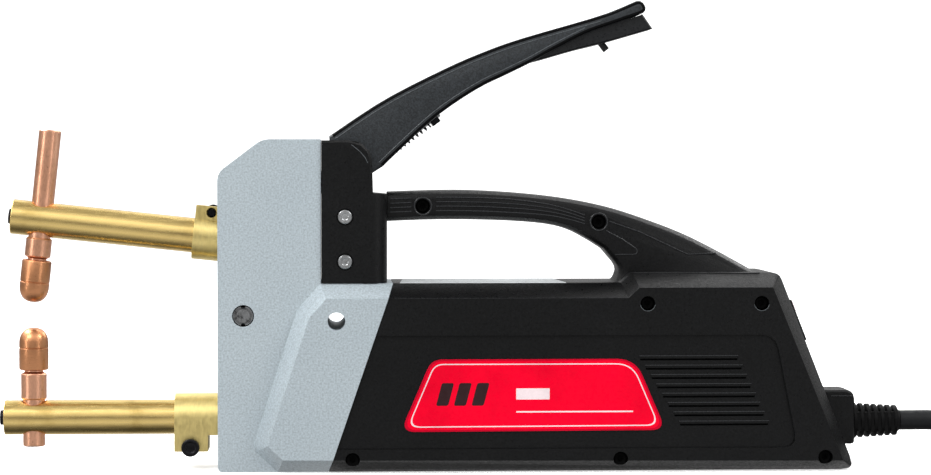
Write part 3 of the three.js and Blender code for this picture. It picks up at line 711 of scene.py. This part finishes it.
def bar_outline(left, right, low, high, lean=0.0, reach=1.0):
    corners = [[left, low, reach], [right, low, reach], [right + lean, high, reach]]
    return rounded(corners + [[left + lean, high, reach]])


def mirrored(outline, middle):
    return [Vector((2 * middle - p.x, p.y)) for p in outline]


def make_label(side, word):
    """A red label with a white line round it and plain generic bars where printing would be."""
    layers = {"edge": RED_EDGE, "field": RED, "print": WHITE}
    for layer, material in layers.items():
        made = bmesh.new()
        if layer == "edge":
            plate(made, rounded(LABEL), LABEL_BACK, LABEL_FACE - 0.12, side, 0.3)
        elif layer == "field":
            plate(made, rounded(LABEL, 0.9), LABEL_BACK, LABEL_FACE - 0.04, side, 0.3)
        else:
            high = LABEL_FACE
            low = LABEL_FACE - 0.08
            ribbon(made, rounded(LABEL, 2.4), rounded(LABEL, 3.0), low, high, side)
            for box in ((32, 50, 39.6, 45.6), (32, 95, 32.6, 33.4)):
                outline = bar_outline(*box, reach=0.35)
                plate(made, outline if side < 0 else mirrored(outline, 41.3), low, high, side, 0.03)
        name = f"label_{layer}_{word}"
        replaced = [f"label_{word}"] if layer == "edge" else []
        add_piece(name, finish_mesh(made, name, 20), "frame", material, replaced)
    made = bmesh.new()
    for left in (-11, -1.5, 8):
        outline = bar_outline(left, left + 6.5, 36.4, 48.6, 3.2, 1.2)
        outline = outline if side < 0 else mirrored(outline, 41.3)
        plate(made, outline, LABEL_FACE - 0.08, LABEL_FACE, side, 0.03)
    name = f"label_mark_{word}"
    add_piece(name, finish_mesh(made, name, 20), "frame", DARK_INK)


def make_deck_strip():
    """The silver rating strip on the flat top of the body, left blank."""
    made = bmesh.new()
    corners = [(-30, -27.5), (60, -27.5), (57, 27.5), (-27, 27.5)]
    for z, inset in ((101.55, 0), (101.8, 0.2)):
        made.faces.new([made.verts.new(vec(x, y * (1 - inset / 27), z)) for x, y in corners])
    made.verts.ensure_lookup_table()
    for i in range(4):
        j = (i + 1) % 4
        made.faces.new([made.verts[k] for k in (i, j, 4 + j, 4 + i)])
    add_piece("deck_strip", finish_mesh(made, "deck_strip"), "frame", SILVER)


# ---- Handle and housing details ----

HANDLE_TOP = [(-46, 150.4), (-5.6, 151.7), (20.6, 151.1), (46.8, 149), (66.5, 146.2), (86.2, 141.8)]
HANDLE_LOW = [(-46, 134.2), (-12, 135.6), (21, 135.3), (47, 133.6), (62, 130.3), (82, 119.3)]
HANDLE_SIDE = 17.0
GROOVE_OFFSETS = (-3.0, -0.6, 1.8, 4.2)
GROOVE_SPANS = ((-35, -23.4), (-10, 71))


def along(table, x):
    """The height of a table of (x, z) points at x, along straight lines between them."""
    for (x0, z0), (x1, z1) in zip(table, table[1:]):
        if x <= x1:
            break
    t = (x - x0) / (x1 - x0)
    return z0 + (z1 - z0) * t


def handle_grooves(side):
    """Four fine ridges on each side of the handle's first screw, which close up at the rear."""
    routes = []
    places = [(offset, *span) for offset in GROOVE_OFFSETS for span in GROOVE_SPANS]
    for offset, start, end in places:
        route = []
        for i in range(26):
            x = start + (end - start) * i / 25
            near = [x + d for d in (-9, -3, 3, 9)]
            middle = sum(along(HANDLE_TOP, a) + along(HANDLE_LOW, a) for a in near) / 8
            pinch = 1 - 0.35 * max(0, (x - 30) / 41)
            route.append((x, side * HANDLE_SIDE, middle + offset * pinch))
        routes.append(route)
    return routes


def ring(x, z, y, radius, count=32):
    """The points of a circle that faces along Y."""
    turn = [2 * math.pi * i / count for i in range(count)]
    return [(x + radius * math.cos(a), y, z + radius * math.sin(a)) for a in turn]


def fan(side):
    """The raised outlines where the handle runs into the body, lighter than the plastic round them
    as a painted highlight.
    """
    y = side * HANDLE_SIDE
    upper = [(84.6, y, 134.6), (101.3, y, 128.8), (126.5, y, 116.9)]
    upper += [(128, y, 116.5), (143, y, 117.2)]
    lower = [(82.9, y, 129.4), (91.4, y, 125), (99.1, y, 119.8), (99.9, y, 118.2), (99.4, y, 116.9)]
    lower += [(97.6, y, 116.5), (87.6, y, 116.5)]
    return [upper, lower]


def louver_lips(side):
    """A thin lip over each louver, lighter than the plastic round it as a painted highlight."""
    y = side * 40.65
    rows = [(61.4 - 5.03 * i, 98.8 + 3.1 * i, 151.3 + 2.4 * i) for i in range(8)]
    return [[(left - 0.5, y, z + 1.3), (right + 0.5, y, z + 1.3)] for z, left, right in rows]


def louver_fins(side):
    """The slanted blades inside the louvers, which close them to a narrow gap."""
    made = bmesh.new()
    for i in range(8):
        z = 61.4 - 5.03 * i
        left, right = 98.6 + 3.1 * i, 151.5 + 2.4 * i
        section = [(40.6, z + 1.1), (40.6, z), (39.2, z - 1.5), (37.4, z - 1.5), (37.4, z - 0.7)]
        ends = []
        for x in (left, right):
            ends.append([made.verts.new(vec(x, side * y, height)) for y, height in section])
        bridge(made, ends)
        made.faces.new(ends[0])
        made.faces.new(ends[1])
    return made


def body_crease_highlights(side):
    """Light lines painted as highlights where the body's top bevels start and end, on their crisp
    edges.
    """
    return [
        [(97, side * 30.2, 106.9), (165, side * 30.2, 106.9)],
        [(99, side * 41.75, 99.45), (170, side * 41.75, 99.45)],
        [(-33, side * 41.75, 93.95), (92.5, side * 41.75, 93.95), (99, side * 41.75, 99.45)],
    ]


COLUMN_ARC = [(-55.7, 176.6), (-54.1, 175.5), (-50.9, 172.8), (-48.2, 169.6), (-46.9, 166.9)]


def painted_rim_highlights():
    """Light arcs painted as highlights on the lower rims of the two upper screw holes of the near
    housing.
    """
    turn = [math.radians(190 + 16 * i) for i in range(11)]
    rims = []
    for x in (102.8, 164.4):
        rims.append([(x + 4.1 * math.cos(a), -41.9, 91 + 4.1 * math.sin(a)) for a in turn])
    return rims


def make_shell_details():
    """The fine lines and blades on both halves of the handle, housing and column. The lines are
    lighter than the plastic round them: painted highlights.
    """
    # Painted highlights on the screw hole rims.
    wires("painted_rim_highlights", painted_rim_highlights(), 0.2, "frame", HIGHLIGHT_LINE)
    for side, word in ((-1, "near"), (1, "far")):
        lines = handle_grooves(side) + fan(side)
        wires(f"handle_ridges_{word}", lines, 0.38, "frame", RIDGE_HIGHLIGHT)
        rims = [ring(-17.2, 143, side * 16.9, 4.7), ring(78.8, 134.3, side * 16.9, 4.7)]
        wires(f"handle_rims_{word}", rims, 0.5, "frame", RIDGE_HIGHLIGHT, True)
        wires(f"louver_lips_{word}", louver_lips(side), 0.36, "frame", RIDGE_HIGHLIGHT)
        fins = finish_mesh(louver_fins(side), f"louver_fins_{word}")
        add_piece(f"louver_fins_{word}", fins, "frame", BLACK)
        creases = body_crease_highlights(side)
        wires(f"body_crease_highlights_{word}", creases, 0.24, "frame", RIDGE_HIGHLIGHT)
        # A light grey line along the column's rounded top corner: a painted highlight.
        arc = [[(x - 0.4, side * 30.7, z - 0.4) for x, z in COLUMN_ARC]]
        wires(f"column_arc_highlight_{word}", arc, 0.35, "frame", HIGHLIGHT_LINE)
        gland = [[(207.6, side * 13.05, 38.4), (219.4, side * 13.05, 38.4)]]
        wires(f"gland_ridge_{word}", gland, 0.35, "frame", RIDGE_HIGHLIGHT)


# ---- Lever edges ----

LEVER_HALF = 15
LEVER_TOP = [
    (-66.5, 182),
    (-38.3, 200.6),
    (-5.6, 217.4),
    (17, 227.2),
    (37.8, 234.5),
    (79.5, 246.7),
]
LEVER_TIP = [
    (90, 250.6),
    (96.5, 253.4),
    (100.2, 254.7),
    (102.9, 254),
    (104.5, 251.4),
    (104.1, 249.2),
    (101.6, 247.5),
    (96, 245.5),
    (86, 242),
]
LEVER_LOW = [
    (72.6, 237.3),
    (55.7, 228.8),
    (42, 221.2),
    (30.2, 215.4),
    (12.6, 206.7),
    (-9.8, 191.5),
    (-33.1, 170.1),
    (-38.7, 164.6),
]


def smooth(points, parts=8):
    """A Catmull-Rom line through points, with its direction at each of its points."""
    points = [Vector(p) for p in points]
    made = []
    last = len(points) - 1
    for i in range(last):
        a, b, c, d = (points[min(max(i + k, 0), last)] for k in (-1, 0, 1, 2))
        for j in range(parts + (i == last - 1)):
            t = j / parts
            start, end = (c - a) / 2, (d - b) / 2
            bend = 2 * (b - c) + start + end
            turn = 3 * (c - b) - 2 * start - end
            point = b + start * t + turn * t**2 + bend * t**3
            direction = start + 2 * turn * t + 3 * bend * t**2
            made.append((point, direction))
    return made


def beside(table, inset, y):
    """A route along a table of (x, z) points, moved to the right of its direction by inset."""
    route = []
    for point, direction in smooth(table):
        direction.normalize()
        route.append((point.x + direction.y * inset, y, point.y - direction.x * inset))
    return route


def make_lever_edges():
    """A rounded bead round the lever's long edges and tip, coloured dark as painted shade, and a
    fine light line inside it as a painted highlight.
    """
    edge = LEVER_TOP + LEVER_TIP + LEVER_LOW
    sides = (-1, 1)
    beads = [beside(edge, 1.4, side * (LEVER_HALF - 1.2)) for side in sides]
    lines = []
    for part in (LEVER_TOP, LEVER_LOW):
        lines += [beside(part, 3, side * LEVER_HALF) for side in sides]
    wires("lever_beads", beads, 1.3, "lever", LEVER_EDGE_SHADE)
    wires("lever_highlight_lines", lines, 0.25, "lever", HIGHLIGHT_LINE)


# ---- Strain relief ----

RELIEF_START, RELIEF_END, CABLE_Z = 221, 247.5, 23.8


def make_strain_relief():
    """Seven rings round the cable, held together by webs on their two sides."""
    made = bmesh.new()
    count = 7
    pitch = (RELIEF_END - RELIEF_START) / count
    start = vec(RELIEF_START, 0, CABLE_Z)
    for i in range(count):
        outer = 9.75 - 1.35 * i / (count - 1)
        low = i * pitch
        high = low + pitch * 0.58
        section = [
            [5.7, low],
            [outer - 0.3, low],
            [outer, low + 0.3],
            [outer, high - 0.3],
            [outer - 0.3, high],
            [5.7, high],
            [5.7, low],
        ]
        lathe(made, section, start, (1, 0, 0), 48)
        if i == count - 1:
            continue
        for side in (-1, 1):
            reach = outer - 0.7
            block = [
                (RELIEF_START + high - 0.2, side * 5.0),
                (RELIEF_START + high - 0.2, side * reach),
                (RELIEF_START + low + pitch + 0.2, side * reach),
                (RELIEF_START + low + pitch + 0.2, side * 5.0),
            ]
            ends = []
            for rise in (-5.2, 5.2):
                ends.append([made.verts.new(vec(x, y, CABLE_Z + rise)) for x, y in block])
            bridge(made, ends)
            made.faces.new(ends[0])
            made.faces.new(ends[1])
    sleeve = [[5.55, 0.2], [6.1, 0.2], [6.1, 25.6], [5.8, 26.4], [5.55, 26.4], [5.55, 0.2]]
    lathe(made, sleeve, start, (1, 0, 0), 48)
    bmesh.ops.remove_doubles(made, verts=made.verts, dist=1e-7)
    mesh = finish_mesh(made, "cable_sleeve", 40)
    add_piece("cable_sleeve", mesh, "frame", RELIEF, ["strain_relief"])


# ---- Plug and dial ----


def plug_shape(radius, angle, row):
    """Flattens the plug's round section into a grip with two flat sides."""
    if row < 4:
        return radius
    return min(radius, 14.6 / max(abs(math.sin(angle)), 1e-6)) if row < 9 else radius


def make_plug():
    profile = [
        [0, 0.2],
        [6.6, 0.2],
        [7.0, 0.8],
        [7.6, 9],
        [8.6, 16],
        [12.5, 19.5],
        [16.2, 23],
        [17, 26],
        [17.3, 36],
        [17.3, 44.5],
        [16.3, 45.8],
        [0, 45.8],
    ]
    start = vec(384, 0, 74.2)
    turned("plug_grip", profile, start, (1, 0, 0), "plug_body", RUBBER, plug_shape)


def make_dial_marks():
    """Plain ticks round the timer dial, on the sloping rear face."""
    lean = math.atan2(217.5 - 175.6, 107)
    normal = Vector((math.cos(lean), 0, math.sin(lean)))
    up = Vector((-math.sin(lean), 0, math.cos(lean)))
    centre = vec(217.5 - 41.9 * 78 / 107, 0, 78) + normal * 0.05 * MM
    routes = []
    for i in range(11):
        a = math.radians(-135 + 27 * i)
        spoke = up * math.cos(a) + Vector((0, 1, 0)) * math.sin(a)
        routes.append([tuple((centre + spoke * r * MM) / MM) for r in (16.6, 19.0)])
    wires("dial_marks", routes, 0.3, "frame", WHITE)
    pointer = [tuple((centre + normal * 4.95 * MM + up * r * MM) / MM) for r in (5.0, 11.4)]
    wires("dial_pointer", [pointer], 0.4, "timer_dial", WHITE)


make_electrodes()
make_screws()
make_label(-1, "near")
make_label(1, "far")
make_deck_strip()
make_shell_details()
make_lever_edges()
make_strain_relief()
make_plug()
make_dial_marks()


# ---- Cord ----

CORD_RADIUS = 5.5
HANK_LEFT, HANK_RIGHT, HANK_Y, HANK_BEND = 334, 422, 36, 36
HANK_TURNS = 5
EXIT_RUN = [
    (247.8, 0, 23.8),
    (256, 0, 23.8),
    (264, 0, 23.8),
    (274, 0, 23),
    (283, 0, 20.6),
    (292, 0, 16.9),
    (302, 0, 12.4),
    (312, 0, 8.8),
    (323, 0, 6.9),
]
TAIL = [
    (344, 0, 62.2),
    (353, 0, 64.6),
    (360, 0, 67.8),
    (367, 0, 71.2),
    (374, 0, 73.7),
    (379, 0, 74.2),
    (383.1, 0, 74.2),
]


def hank_point(along):
    """A point of the hank's flat loop, so far along it from its near left corner."""
    straight, half_turn = HANK_RIGHT - HANK_LEFT, math.pi * HANK_BEND
    along %= 2 * (straight + half_turn)
    if along < straight:
        return HANK_LEFT + along, 0
    if along < straight + half_turn:
        a = (along - straight) / HANK_BEND
        return HANK_RIGHT + HANK_BEND * math.sin(a), HANK_Y - HANK_BEND * math.cos(a)
    if along < 2 * straight + half_turn:
        return HANK_RIGHT - (along - straight - half_turn), HANK_Y + HANK_BEND
    a = (along - 2 * straight - half_turn) / HANK_BEND
    return HANK_LEFT - HANK_BEND * math.sin(a), HANK_Y + HANK_BEND * math.cos(a)


def cord_route():
    loop = 2 * (HANK_RIGHT - HANK_LEFT) + 2 * math.pi * HANK_BEND
    points_per_turn = 32
    route = list(EXIT_RUN)
    for i in range(HANK_TURNS * points_per_turn + 1):
        turns = i / points_per_turn
        x, y = hank_point(turns * loop)
        route.append((x, y, 6.7 + 2 * CORD_RADIUS * levels(turns)))
    return route + TAIL


def levels(turns):
    """How many levels up the hank is after so many turns. It climbs in the left bend only."""
    t = min(1, max(0, (turns % 1 - 0.66) / 0.28))
    return turns // 1 + t * t * (3 - 2 * t)


def make_cord():
    data = bpy.data.curves.new("cord", "CURVE")
    data.dimensions = "3D"
    data.bevel_depth = CORD_RADIUS * MM
    data.bevel_resolution = 6
    data.use_fill_caps = True
    route = cord_route()
    spline = data.splines.new("BEZIER")
    spline.bezier_points.add(len(route) - 1)
    for point, place in zip(spline.bezier_points, route):
        point.co = vec(*place)
        point.handle_left_type = point.handle_right_type = "AUTO"
    spline.resolution_u = 4
    data.materials.append(RUBBER)
    cord = bpy.data.objects.new("cord", data)
    bpy.context.scene.collection.objects.link(cord)
    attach(cord, "frame")
    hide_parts("power_cord", "cord_coil", "cord_tail")


make_cord()
